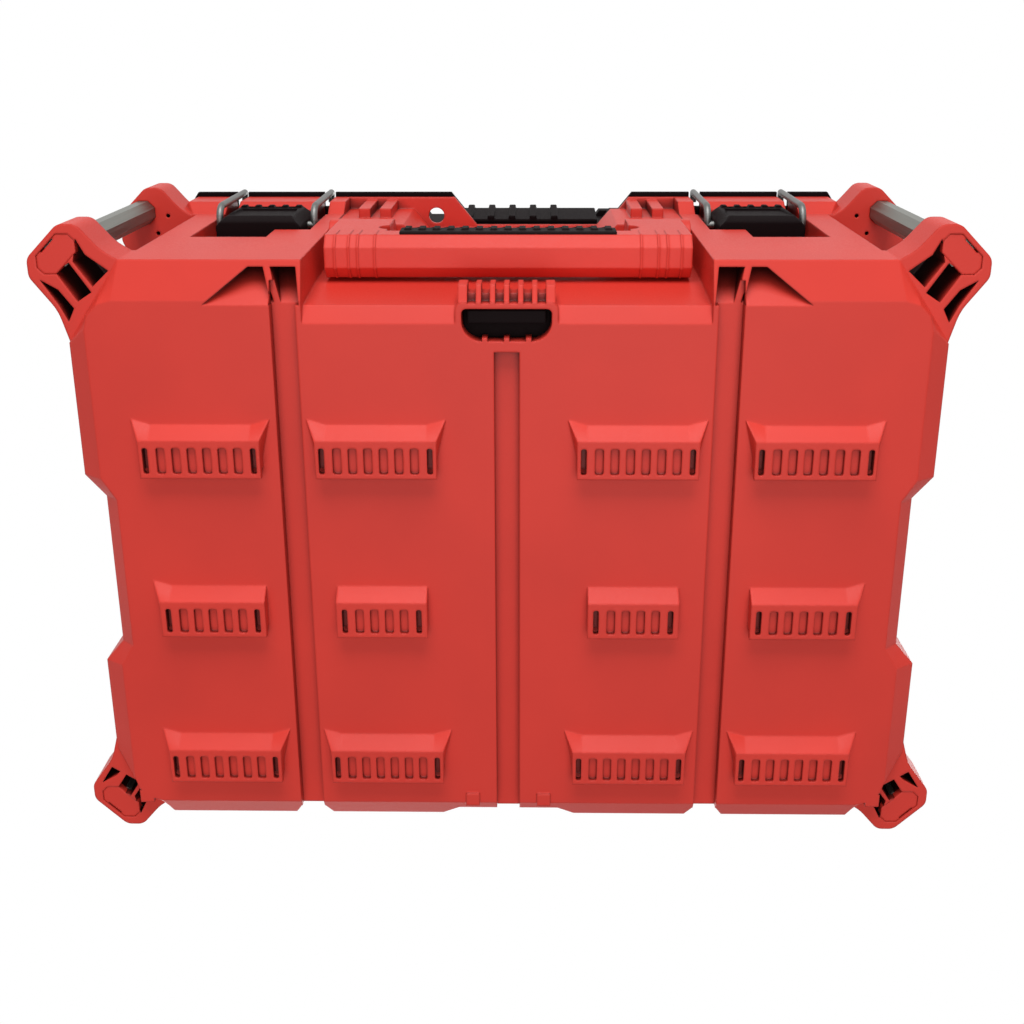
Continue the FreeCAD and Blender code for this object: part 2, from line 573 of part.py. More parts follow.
# Ribbed guard in front of the release paddle's mouth
hood = prism("release_hood", "YZ", [
    ("-hoodFront", "panelZ + recessStepRise"), ("-recessStep - over", "panelZ + over"),
    ("-recessLip", "panelZ"), ("-recessLip", "panelZ + hoodTall"), ("-hoodFront", "panelZ + hoodTall"),
], "-hoodWide / 2", "hoodWide")
rim_block = box("hood_rim_block", ("-hoodRimWide / 2", "hoodRimWide / 2"), ("-hoodRimFront", "-recessLip"),
                ("panelZ", "panelZ + 2 * recessStepRise"))
hood_rim = soften("hood_rim", rim_block, "hoodRimRound",
                  lambda edge: upright(edge) and edge.CenterOfMass.y < -number_of("recessStep"))

# Release: the paddle's mouth, the plate's guide, the retainer's seat, spring bores and slots in the hood
spring_z = "plateLow + plateThick / 2"
mouth_block = box("paddle_mouth_block", ("-paddleMouthWide / 2", "paddleMouthWide / 2"),
                  ("-paddleMouthFront", "-paddleMouthRear"), ("0", "plateLow"))
mouth_middle = number_of("-(paddleMouthFront + paddleMouthRear) / 2")
mouth_front = soften("paddle_mouth_front", mouth_block, "paddleMouthRound",
                     lambda edge: upright(edge) and edge.CenterOfMass.y < mouth_middle)
mouth_swept = soften("paddle_mouth_swept", mouth_front, "paddleMouthSweep",
                     lambda edge: upright(edge) and edge.CenterOfMass.y > mouth_middle)
mouth_nubs = [box(f"mouth_nub_{label}", (f"{middle} - mouthNub / 2", f"{middle} + mouthNub / 2"),
                  ("-paddleMouthRear - mouthNubProud", "-paddleMouthRear + over"), ("0", "plateLow"))
              for label, middle in (("left", "-mouthNubPitch"), ("middle", "0"), ("right", "mouthNubPitch"))]
release_cuts = [
    cut("paddle_mouth", mouth_swept, mouth_nubs),
    box("plate_guide", ("-plateWide / 2 - slideFit", "plateWide / 2 + slideFit"),
        ("-plateFront - slideFit", "-plateRear + releaseTravel + slideFit"), ("plateLow - slideFit",
        "retainerZ")),
    box("retainer_seat", ("-retainerWide / 2 - slideFit", "retainerWide / 2 + slideFit"),
        ("-retainerFront - slideFit", "-retainerRear + slideFit"), ("retainerZ", "rimHeight")),
]
release_cuts += both(rod("spring_bore", "Y", ("springX", "-plateRear", spring_z),
                         "springRadius + slideFit",
                         "springLong"))
for i in range(int(number_of("hoodRibs"))):
    middle = f"({i} - (hoodRibs - 1) / 2) * hoodPitch"
    sides = (f"{middle} - hoodSlot / 2", f"{middle} + hoodSlot / 2")
    release_cuts.append(box(f"hood_slot_{i}", sides, ("-halfDepth", "-hoodSlotBack"),
                            ("0", "plateLow - 2 * over")))
    release_cuts.append(box(f"hood_fin_{i}", sides, ("-halfDepth", "-hoodFinBack"),
                            ("0", "panelZ + hoodTall + over")))


def cleat(name, wide, slots, horns):
    """A hook under the floor: a slotted tip, a front that slopes up between flared horns, a rear lip.

    horns gives the flare at the left and the right end, as a share of a full horn.
    """
    half, front, rear = f"({wide}) / 2", "-cleatTipLong / 2", "cleatTipLong / 2 - cleatOverhang"
    tip = [(f"-{half}", front), (f"-{half} + cleatHorn", front), (f"{half} - cleatHorn", front),
           (half, front),
           (half, "0"), (half, rear), (f"-{half}", rear), (f"-{half}", "0")]
    root_y = f"{front} - cleatSlope"
    root = [(f"-{half} - {horns[0]} * cleatHorn", f"{root_y} - {horns[0]} * cleatHornDeep"),
            (f"-{half} + cleatHorn", root_y), (f"{half} - cleatHorn", root_y),
            (f"{half} + {horns[1]} * cleatHorn", f"{root_y} - {horns[1]} * cleatHornDeep"),
            (half, "0"), (half, rear), (f"-{half}", rear), (f"-{half}", "0")]
    block = loft(name + "_block", [outline(name + "_tip", "XY", tip, "0"),
                                   outline(name + "_root", "XY", root, "panelZ + over")])
    lip = box(name + "_lip", (f"-{half}", half), ("0", "cleatTipLong / 2"), ("0", "cleatLip"))
    holes = []
    for i in range(slots):
        middle = f"({i} - ({slots} - 1) / 2) * slotPitch"
        last = i in (0, slots - 1)
        narrow = "slotEndWide / 2" if last else "slotWide / 2"
        deep = "slotDeep * 2" if last else "slotDeep"
        hole = box(f"{name}_slot_{i}_block", (f"{middle} - {narrow}", f"{middle} + {narrow}"),
                   ("cleatTipLong / 2 - slotRear - slotLong", "cleatTipLong / 2 - slotRear"),
                   ("-over", deep))
        holes.append(soften(f"{name}_slot_{i}", hole, "slotRound", upright))
    return cut(name, fuse(name + "_whole", [block, lip]), holes)


cleats = []
ROWS = ("-cleatRowFront", "-cleatRowFront + cleatRowPitch", "-cleatRowFront + 2 * cleatRowPitch")


def stand(thing, x, y):
    """Move a cut piece in plan by its placement."""
    place(thing, x, y, "0")
    return thing


for row, y in enumerate(ROWS):
    if row == 1:
        cleats += both(stand(cleat("cleat_middle_outer", "middleOuterWide", 7, (0, 1)), "cleatOuterX", y))
        cleats += both(stand(cleat("cleat_middle_inner", "middleInnerWide", 6, (0, 0)), "cleatInnerX", y))
        continue
    for column, x in (("outer", "cleatOuterX"), ("inner", "cleatInnerX")):
        cleats += both(stand(cleat(f"cleat_{row}_{column}", "cleatTipWide", 8, (1, 1)), x, y))


ear_left = "hingeX - knuckleWide / 2 - hingeGap - earWide"
ear_right = "hingeX + knuckleWide / 2 + hingeGap"
ears = []
for label, x in (("in", ear_left), ("out", ear_right)):
    eye = rod(f"ear_{label}_eye", "X", (x, "hingeY", "hingeZ"), "hingeRadius", "earWide")
    foot_block = box(f"ear_{label}_foot", (x, f"{x} + earWide"),
                     ("hingeY - hingeRadius", "hingeY + hingeRadius"),
                     ("rimHeight - 2 * hingeRadius", "hingeZ"))
    ears += both(fuse(f"ear_{label}", [eye, foot_block]))
hinge_cuts = both(rod("hinge_bore", "X", (ear_left, "hingeY", "hingeZ"), "hingePinRadius + pinFit",
                      "knuckleWide + 2 * earWide + 2 * hingeGap"))
hinge_cuts += both(rod("knuckle_room", "X", ("hingeX - knuckleWide / 2 - hingeGap", "hingeY", "hingeZ"),
                       "hingeRadius + hingeGap", "knuckleWide + 2 * hingeGap"))

tub_body = cut("tub_body", fuse("tub_solid", [shell, filling] + lugs), cuts)
nubs = both(box("rear_nub", ("nubX", "nubX + nubWide"), ("nubFront", "nubFront + nubLong"),
                ("panelZ - nubProud", "panelZ - nubProud + nubTall")))
nubs += both(box("corner_nub", ("cornerNubX", "cornerNubX + nubWide"), ("nubFront", "nubFront + nubLong"),
                 ("panelZ", "panelZ + nubTall")))
tub_whole = fuse("tub_whole", [tub_body, hood, hood_rim] + shoulders + cleats + ears + nubs)
lock_hole = rod("lock_hole", "Z", ("-lockX", "-lockY", "shoulderLow"), "lockHole / 2", "totalHeight")
RETAINER_SCREWS = [(f"{side}(retainerWide / 2 - screwInset)", f"-{end}") for side in ("", "-")
                   for end in ("(retainerFront - screwInset)", "(retainerRear + screwInset)")]
for i, (x, y) in enumerate(RETAINER_SCREWS):
    release_cuts.append(rod(f"retainer_tap_{i}", "Z", (x, y, "retainerTop - screwLong"),
                            "screwRadius + pinFit",
                            "screwLong + over"))
tub = part("base_tub", cut("tub", tub_whole, hinge_cuts + release_cuts + [lock_hole]))

# Corner bars and the plugs below them
CORNERS = ("front_right", "front_left", "rear_right", "rear_left")
for corner, solid in zip(CORNERS, four(bar("corner_bar", "lugLow + plugRecess + plugThick",
                                           "lugHigh + barSeat"))):
    part(f"corner_bar_{corner}", solid)
plug_notch = turned(prism("plug_notch", "XY", [
    ("-plugSlot / 2", "-plugWidth"), ("plugSlot / 2", "-plugWidth"),
    ("plugSlot / 2", "-plugWidth / 2 + plugNotch"), ("-plugSlot / 2", "-plugWidth / 2 + plugNotch"),
], "panelZ", "lugLow"), CORNER_TURN)
plug_piece = cut("plug_piece", plug("plug_cap", "lugLow + plugRecess", "plugThick"), [plug_notch])
for corner, solid in zip(CORNERS, four(plug_piece)):
    part(f"bar_plug_{corner}", solid)

# Carry handle: a bevelled bar between two wide arms, each with a round bite above the bar, and pivot eyes
low, high, bite = "handleLow", "handleLow + handleTall", "handleBevel"
front_y, rear_y = "-handleFront", "-handleFront + handleDeep"


def handle_section(name, grow, start, length):
    """A stretch of the bar's bevelled section, grown all round."""
    fore, back = f"{front_y} - {grow}", f"{rear_y} + {grow}"
    under, top = f"{low} - {grow}", f"{high} + {grow}"
    return prism(name, "YZ", [
        (fore, f"{under} + {bite}"), (f"{fore} + {bite}", under),
        (f"{back} - {bite}", under), (back, f"{under} + {bite}"),
        (back, f"{top} - {bite}"), (f"{back} - {bite}", top),
        (f"{fore} + {bite}", top), (fore, f"{top} - {bite}"),
    ], start, length)


handle_bar = handle_section("handle_bar", "0", "-handleHalf", "handleWide")
rings = []
for ring in ("ringFirst", "ringSecond", "ringThird", "ringFourth"):
    rings += both(handle_section(ring, "ringProud", f"{ring} - ringWide / 2", "ringWide"))
arm = box("handle_arm", ("handleHalf - armWide", "handleHalf"), ("-handleFront", "-handleFront + armDeep"),
          (f"{high} - {bite}", "handlePivotZ"))
arm_bite = rod("handle_arm_bite", "Y", ("armBiteX", "-handleFront", "armBiteZ"), "armBite", "armDeep")
eye = rod("handle_eye", "X", ("handleHalf - armWide", "-handlePivotY", "handlePivotZ"), "armDeep / 2",
          "armWide + eyeReach")
eye_bore = rod("handle_eye_bore", "X", ("handleHalf - armWide", "-handlePivotY", "handlePivotZ"),
               "handlePinRadius + pinFit", "armWide + eyeReach")
handle_whole = fuse("handle_whole", [handle_bar] + rings + both(arm) + both(eye))
part("carry_handle", cut("handle", handle_whole, both(eye_bore) + both(arm_bite)))
grip_ribs = []
for i in range(int(number_of("gripRibs"))):
    middle = f"({i} - (gripRibs - 1) / 2) * gripRibPitch"
    grip_ribs.append(box(f"grip_rib_{i}", (f"{middle} - gripRib / 2", f"{middle} + gripRib / 2"),
                         ("-handleFront - gripThick - gripRibProud", "-handleFront - gripThick"),
                         (f"{low} + {bite} + gripRibLift", f"{high} - {bite}")))
grip_pad = box("grip_pad", ("-gripWide / 2", "gripWide / 2"),
               ("-handleFront - gripThick", "-handleFront"),
               (f"{low} + {bite}", f"{high} - {bite}"))
part("handle_grip", fuse("grip", [grip_pad] + grip_ribs))
handle_pin = rod("handle_pin", "X", ("handleHalf - armWide", "-handlePivotY", "handlePivotZ"),
                 "handlePinRadius",
                 "recessHalf + handlePinSeat - handleHalf + armWide")
for side, solid in zip(("right", "left"), both(handle_pin)):
    part(f"handle_pin_{side}", solid)


# Draw latches: a lever on a cross pin, and a bail of bent wire that turns in the lever
def lever():
    front, rear = "-leverFront", "-leverFront + leverThick"
    profile = prism("lever_profile", "YZ", [
        (front, "leverLow + leverBevel"), (f"{front} + leverBevel / 2", "leverLow"), (rear, "leverLow"),
        (rear, "latchPivotZ"), (f"{rear} - leverBevel / 2", "leverTop"),
        (f"{front} + leverBevel", "leverTop"),
        (front, "leverTop - leverBevel"),
    ], "latchX - leverWide / 2", "leverWide")
    left, right = "latchX - leverWide / 2", "latchX + leverWide / 2"
    plan = prism("lever_plan", "XY", [
        (f"{left} + leverBevel", front), (f"{right} - leverBevel", front),
        (right, f"{front} + leverBevel"),
        (right, rear), (left, rear), (left, f"{front} + leverBevel"),
    ], "leverLow", "leverTop - leverLow")
    ridges = []
    for i in range(int(number_of("leverRidges"))):
        middle = f"latchX + ({i} - (leverRidges - 1) / 2) * leverRidgePitch"
        ridges.append(box(f"lever_ridge_{i}", (f"{middle} - leverRidge / 2",
                                               f"{middle} + leverRidge / 2"),
                          (f"{front} - leverRidgeProud", front),
                          ("leverTop - leverBevel - leverRidgeTall", "leverTop - leverBevel")))
    panel_low = "leverLow + leverBevel + panelRise"
    panel_high = f"{panel_low} + panelTall"
    panel = prism("lever_panel", "XZ", [
        ("latchX - panelLow / 2", panel_low), ("latchX + panelLow / 2", panel_low),
        ("latchX + panelHigh / 2", panel_high), ("latchX - panelHigh / 2", panel_high),
    ], f"{front} + panelSunk", "panelSunk")
    bores = [rod("lever_pin_bore", "X", (left, "-latchPivotY", "latchPivotZ"), "latchPinRadius + pinFit",
                 "leverWide"),
             rod("lever_bail_bore", "X", (left, "-bailPivotY", "bailPivotZ"), "bailWire / 2 + bailFit",
                 "leverWide")]
    whole = fuse("lever_whole", [common("lever_block", profile, plan)] + ridges)
    return cut("lever", whole, bores + [panel])


def ball(name, x, y, z):
    end = doc.addObject("Part::Sphere", name)
    bind(end, Radius="bailWire / 2")
    place(end, x, y, z)
    return end


def bend(name, x, y, z):
    """A quarter ring of wire about y and z that turns from the run below to the leg in front."""
    ring = doc.addObject("Part::Torus", name)
    ring.Placement = FreeCAD.Placement(FreeCAD.Vector(), FreeCAD.Rotation(FreeCAD.Vector(0, 1, 0), 90))
    bind(ring, Radius1="bailBend", Radius2="bailWire / 2")
    place(ring, x, y, z)
    quarter = box(name + "_quarter", (f"{x} - bailWire", f"{x} + bailWire"), (f"{y} - 2 * bailBend", y),
                  (f"{z} - 2 * bailBend", z))
    return common(name + "_wire", ring, quarter)


def bail():
    """A wire that crosses the lever, runs out beside it, bends up and hooks back over the lid's flange."""
    bend_y, bend_z = "(-bailTopY + bailBend)", "(bailPivotZ + bailBend)"
    wires = [rod("bail_cross", "X", ("latchX - bailSide", "-bailPivotY", "bailPivotZ"), "bailWire / 2",
                 "2 * bailSide")]
    for label, x in (("inner", "latchX - bailSide"), ("outer", "latchX + bailSide")):
        wires += [ball(f"bail_foot_{label}", x, "-bailPivotY", "bailPivotZ"),
                  rod(f"bail_run_{label}", "Y", (x, bend_y, "bailPivotZ"), "bailWire / 2",
                      f"-bailPivotY - {bend_y}"),
                  bend(f"bail_bend_{label}", x, bend_y, bend_z),
                  rod(f"bail_leg_{label}", "Z", (x, "-bailTopY", bend_z), "bailWire / 2",
                      f"bailTopZ - {bend_z}"),
                  ball(f"bail_knee_{label}", x, "-bailTopY", "bailTopZ"),
                  rod(f"bail_hook_{label}", "Y", (x, "-bailTopY", "bailTopZ"), "bailWire / 2", "bailHook")]
    return fuse("bail", wires)


latch_pin = rod("latch_pin", "X", ("pocketInnerX - latchPinSeat", "-latchPivotY", "latchPivotZ"),
                "latchPinRadius",
                "latchPocketWide + 2 * latchPinSeat")
for label, solid in (("latch_lever", lever()), ("latch_bail", bail()), ("latch_pin", latch_pin)):
    for side, one in zip(("right", "left"), both(solid)):
        part(f"{label}_{side}", one)

# Release: paddle with its guide plate, springs behind the plate, retainer and screws
paddle_y = "-paddleMouthFront + paddleGap"
part("release_paddle", fuse("paddle", [
    box("paddle_finger", ("-paddleWide / 2", "paddleWide / 2"), (paddle_y, f"{paddle_y} + paddleLong"),
        ("panelZ + paddleGap", "plateLow")),
    box("paddle_plate", ("-plateWide / 2", "plateWide / 2"), ("-plateFront", "-plateRear"),
        ("plateLow", "plateTop")),
]))


def group(name, things):
    """Separate solids of one kind kept together."""
    bundle = doc.addObject("Part::Compound", name)
    bundle.Links = things
    return bundle


spring = cut("spring", rod("spring_body", "Y", ("springX", "-plateRear", spring_z), "springRadius",
                           "springLong"),
             [rod("spring_core", "Y", ("springX", "-plateRear", spring_z), "springCore", "springLong")])
part("release_springs", group("springs", both(spring)))


def screw(name, x, y, z, up):
    """A pan-head screw whose head's seat is at z; up is 1 when the head is above."""
    shank_z, head_z = ("- screwLong", "") if up else ("", "- screwHeadTall")
    return fuse(name, [rod(name + "_shank", "Z", (x, y, f"{z} {shank_z}"), "screwRadius", "screwLong"),
                       rod(name + "_head", "Z", (x, y, f"{z} {head_z}"), "screwHead", "screwHeadTall")])


retainer_holes = [rod(f"retainer_hole_{i}", "Z", (x, y, "retainerZ"), "screwRadius + pinFit",
                      "retainerThick")
                  for i, (x, y) in enumerate(RETAINER_SCREWS)]
part("release_retainer", cut("retainer", box("retainer_plate", ("-retainerWide / 2", "retainerWide / 2"),
                                             ("-retainerFront", "-retainerRear"), ("retainerZ",
                                             "retainerTop")),
                             retainer_holes))
part("release_screws", group("retainer_screws", [screw(f"retainer_screw_{i}", x, y, "retainerTop", True)
                                                 for i, (x, y) in enumerate(RETAINER_SCREWS)]))

# Lid shell: flange on the rim, leaning walls, a mouth at the front with a solid frame, hinge knuckles
LID_MOUTH = [("-lidMouth", "-halfDepth"), ("-lidMouth + mouthSlant", "-mouthBack"),
             ("lidMouth - mouthSlant", "-mouthBack"), ("lidMouth", "-halfDepth")]
lid_flange = doc.addObject("Part::Extrusion", "lid_flange_plate")
lid_flange.Base = wall_plan("lid_flange_plan", "lidZ", "wallDraft", "bandFront + lidProud", "bandSide",
                            "bandRear")
lid_flange.DirMode = "Normal"
lid_flange.Solid = True
bind(lid_flange, LengthFwd="lidFlange")
lid_dome = loft("lid_dome", [band_plan("dome_low", "flangeTop", "shellInset"),
                             band_plan("dome_high", "shellTop", "shellInset + shellLean")])
lid_room = loft("lid_room", [band_plan("room_low", "rimHeight", "shellInset + shellWall"),
                             band_plan("room_high", "shellTop - shellWall",
                                       "shellInset + shellLean + shellWall")])
lid_outer = fuse("lid_outer", [lid_flange, lid_dome])
lid_frame = common("lid_frame", box("lid_frame_block",
                                    ("-recessHalf - 3 * sealStep", "recessHalf + 3 * sealStep"),
                                    ("-halfDepth", "-mouthBack + wall + sealWide"), ("lidZ",
                                    "shellTop")), lid_outer)
knuckles = both(rod("knuckle_eye", "X", ("hingeX - knuckleWide / 2", "hingeY", "hingeZ"), "hingeRadius",
                    "knuckleWide"))
knuckles += both(box("knuckle_foot", ("hingeX - knuckleWide / 2", "hingeX + knuckleWide / 2"),
                     ("hingeY - 2 * hingeRadius", "hingeY"), ("lidZ", "hingeZ + hingeRadius")))


def seal_plan(inset):
    """The line of the seal: along the tub's walls, stepping back behind the handle recess."""
    half = [
        (f"recessHalf + sealStep - sealWide + {inset}", f"-recessTop - sealInset + {inset}"),
        (f"recessHalf + sealStep - sealWide + {inset}", f"-frontReach - wallDraft + {inset}"),
        (f"bodyWidth / 2 + wallDraft - cornerX - {inset}", f"-frontReach - wallDraft + {inset}"),
        (f"bodyWidth / 2 + wallDraft - {inset}", f"-frontReach - wallDraft + cornerY + {inset}"),
        (f"bodyWidth / 2 + wallDraft - {inset}", "-waistFront - waistRamp"),
        (f"waistWidth / 2 + wallDraft - {inset}", "-waistFront"),
        (f"waistWidth / 2 + wallDraft - {inset}", "waistRear"),
        (f"bodyWidth / 2 + wallDraft - {inset}", "waistRear + waistRamp"),
        (f"bodyWidth / 2 + wallDraft - {inset}", f"sealBack - cornerY - {inset}"),
        (f"bodyWidth / 2 + wallDraft - cornerX - {inset}", f"sealBack - {inset}"),
    ]
    return half + [(f"-({x})", y) for x, y in reversed(half)]


def seal_ring(name, z, tall):
    return cut(name, prism(name + "_out", "XY", seal_plan("sealInset"), z, tall),
               [prism(name + "_in", "XY", seal_plan("(sealInset + sealWide)"), z, tall)])


lid_cuts = [prism("lid_mouth", "XY", LID_MOUTH, "flangeTop", "totalHeight"),
            prism("lid_flange_mouth", "XY", MOUTH, "rimHeight", "totalHeight"),
            rod("lid_lock_hole", "Z", ("-lockX", "-lockY", "rimHeight"), "lockHole / 2", "totalHeight"),
            seal_ring("seal_groove", "lidZ", "sealTall")]
for label, middle in (("inner", "latchX - bailSide"), ("outer", "latchX + bailSide")):
    lid_cuts += both(box(f"lid_notch_{label}", (f"{middle} - bailNotch / 2", f"{middle} + bailNotch / 2"),
                         ("-halfDepth", "-bailNotchBack"), ("rimHeight", "totalHeight")))
for label, x in (("in", ear_left), ("out", ear_right)):
    lid_cuts += both(box(f"ear_room_{label}", (f"{x} - hingeGap", f"{x} + earWide + hingeGap"),
                         ("hingeY - hingeRadius - hingeClear", "halfDepth"), ("rimHeight",
                         "hingeZ + hingeRadius + hingeClear")))
lid_cuts += both(rod("lid_hinge_bore", "X", (ear_left, "hingeY", "hingeZ"), "hingePinRadius + pinFit",
                     "knuckleWide + 2 * earWide + 2 * hingeGap"))
DECK_SCREWS = [(x, f"-cleatRowFront + ({row} + 0.5) * cleatRowPitch") for row in (0, 1)
               for x in ("-(cleatOuterX + cleatInnerX) / 2", "0", "(cleatOuterX + cleatInnerX) / 2")]
for i, (x, y) in enumerate(DECK_SCREWS):
    lid_cuts.append(rod(f"deck_hole_{i}", "Z", (x, y, "rimHeight"), "screwRadius + pinFit",
                        "totalHeight"))
lid_hollow = cut("lid_hollow", lid_outer, [lid_room])
part("lid_shell", cut("lid", fuse("lid_whole", [lid_hollow, lid_frame] + knuckles), lid_cuts))
part("lid_seal", seal_ring("seal", "lidZ - lidGap / 2", "sealTall + lidGap / 2"))
hinge_pin = rod("hinge_pin", "X", (ear_left, "hingeY", "hingeZ"), "hingePinRadius",
                "knuckleWide + 2 * earWide + 2 * hingeGap")
for side, solid in zip(("right", "left"), both(hinge_pin)):
    part(f"hinge_pin_{side}", solid)

# Lid deck: twelve sockets over the cleats' pattern, each with a lip to hook under at its rear
deck_plate = doc.addObject("Part::Extrusion", "deck_plate")
deck_plate.Base = band_plan("deck_plan", "shellTop", "deckInset")
deck_plate.DirMode = "Normal"
deck_plate.Solid = True
bind(deck_plate, LengthFwd="totalHeight - shellTop")
deck_cuts = [prism("deck_mouth", "XY", LID_MOUTH, "shellTop", "totalHeight")]
for row, y in enumerate(ROWS):
    for column, x in (("outer", "cleatOuterX"), ("inner", "cleatInnerX")):
        sides = (f"{x} - socketWide / 2", f"{x} + socketWide / 2")
        deck_cuts += both(box(f"socket_{row}_{column}", sides, (f"{y} - socketLong", f"{y} + socketRear"),
                              ("shellTop", "totalHeight")))
        deck_cuts += both(box(f"socket_under_{row}_{column}", sides,
                              (y, f"{y} + socketRear + socketUnder"),
                              ("shellTop", "totalHeight - socketLipTall")))
for i, (x, y) in enumerate(DECK_SCREWS):
    deck_cuts.append(rod(f"deck_tap_{i}", "Z", (x, y, "shellTop"), "screwRadius + pinFit",
                         "screwLong - shellWall"))
part("lid_deck", cut("deck", deck_plate, deck_cuts))
part("lid_screws", group("deck_screws", [screw(f"deck_screw_{i}", x, y, "shellTop - shellWall", False)
                                         for i, (x, y) in enumerate(DECK_SCREWS)]))

# Lid grip: a leaning lip at the front of the lid, with ribs
grip_low, grip_high = "-mouthBack - lidGripFoot", "-mouthBack - lidGripFoot - lidGripLean"
lip = prism("lid_lip", "YZ", [("-mouthBack", "flangeTop"), (grip_low, "flangeTop"),
                              (grip_high, "shellTop"),
                              ("-mouthBack", "shellTop")], "-lidGripLeft", "lidGripLeft + lidGripRight")
lip_ribs = []
for i in range(int(number_of("lidRibs"))):
    middle = f"({i} - (lidRibs - 1) / 2) * lidRibPitch"
    lip_ribs.append(prism(f"lid_rib_{i}", "YZ", [
        ("-mouthBack", "flangeTop"), (f"{grip_low} - lidRibProud", "flangeTop"),
        (f"{grip_high} - lidRibProud", "shellTop"), ("-mouthBack", "shellTop"),
    ], f"{middle} - lidRib / 2", "lidRib"))
part("lid_grip", fuse("lip_whole", [lip] + lip_ribs))

doc.recompute()

broken = [thing.Name for thing in doc.Objects if "Invalid" in thing.State or "Error" in thing.State]
if broken:
    raise SystemExit(f"failed objects: {broken}")
os.makedirs("parts", exist_ok=True)
for thing in PARTS:
    if thing.Shape.isNull() or not thing.Shape.isValid():
        raise SystemExit(f"bad shape: {thing.Label}")
    print(thing.Label, len(thing.Shape.Solids), round(thing.Shape.Volume), thing.Shape.BoundBox)
    thing.Shape.exportStep(f"parts/{thing.Label}.step")
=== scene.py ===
"""Modular stacking toolbox, seen from below with its front edge up, as in the photograph."""
import json
import math

import bmesh
import bpy
import numpy as np
from mathutils import Matrix, Vector


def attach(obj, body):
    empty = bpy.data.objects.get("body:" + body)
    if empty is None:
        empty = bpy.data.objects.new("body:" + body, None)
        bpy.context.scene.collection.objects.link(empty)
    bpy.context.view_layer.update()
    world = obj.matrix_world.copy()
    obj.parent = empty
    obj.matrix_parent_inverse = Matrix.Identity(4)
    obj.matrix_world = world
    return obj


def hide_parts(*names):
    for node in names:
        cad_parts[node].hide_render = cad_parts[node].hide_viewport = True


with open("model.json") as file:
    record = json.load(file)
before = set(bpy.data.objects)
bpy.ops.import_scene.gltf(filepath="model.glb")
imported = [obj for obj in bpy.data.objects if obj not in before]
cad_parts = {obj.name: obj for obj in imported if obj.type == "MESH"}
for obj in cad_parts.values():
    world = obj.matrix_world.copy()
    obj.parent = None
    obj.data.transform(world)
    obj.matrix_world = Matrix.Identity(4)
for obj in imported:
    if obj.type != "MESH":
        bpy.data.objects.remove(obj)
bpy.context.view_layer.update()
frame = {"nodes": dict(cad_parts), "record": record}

MM = 0.001
scene = bpy.context.scene
scene.view_settings.view_transform = "Standard"


def linear(code):
    """An sRGB hex code as linear red, green and blue, and a full alpha."""
    shares = np.array([int(code[i:i + 2], 16) for i in (1, 3, 5)]) / 255
    low, high = shares / 12.92, ((shares + 0.055) / 1.055) ** 2.4
    return (*np.where(shares <= 0.04045, low, high).tolist(), 1.0)


def node(tree, kind, links=None, **settings):
    """Add a node, set its properties and input values, and link its inputs from other nodes' outputs."""
    made = tree.nodes.new(kind)
    for key, value in settings.items():
        if hasattr(made, key):
            setattr(made, key, value)
        else:
            made.inputs[key.replace("_", " ")].default_value = value
    for socket, source in (links or {}).items():
        tree.links.new(source, made.inputs[socket])
    return made


# Nearly all of a noise lies between these two values
NOISE_LOW, NOISE_HIGH = 0.3, 0.7


def blank_material(name):
    """A new material with no nodes, and its node tree."""
    material = bpy.data.materials.new(name)
    material.use_nodes = True
    material.node_tree.nodes.clear()
    return material, material.node_tree


def noise(tree, place, cell_mm, detail, roughness):
    """A noise whose cells are cell_mm apart, as values about 0.5."""
    made = node(tree, "ShaderNodeTexNoise", {"Vector": place}, Scale=1 / (cell_mm * MM), Detail=detail,
                Roughness=roughness)
    return made.outputs["Fac"]


def two_tone(tree, value, shade, base):
    """A colour that goes from shade to base as a noise rises."""
    made = node(tree, "ShaderNodeValToRGB", {"Fac": value})
    for stop, position, code in zip(made.color_ramp.elements, (NOISE_LOW, NOISE_HIGH), (shade, base)):
        stop.position = position
        stop.color = linear(code)
    return made.outputs["Color"]


def uneven_gloss(tree, value, smooth, rough):
    """A roughness that goes from smooth to rough as a noise rises."""
    made = node(tree, "ShaderNodeMapRange", {"Value": value}, From_Min=NOISE_LOW, From_Max=NOISE_HIGH,
                To_Min=smooth, To_Max=rough)
    return made.outputs["Result"]


CLOUD_MM = 90
MOULD_RADIUS_MM = 1.8
# How far the painted shade in the pockets looks for walls that hide the sky
SHADE_REACH_MM = 32
# Shares of open sky at which a pocket takes the full painted shade, and at which a surface takes none
SHADED_SKY, OPEN_SKY = 0.12, 0.56


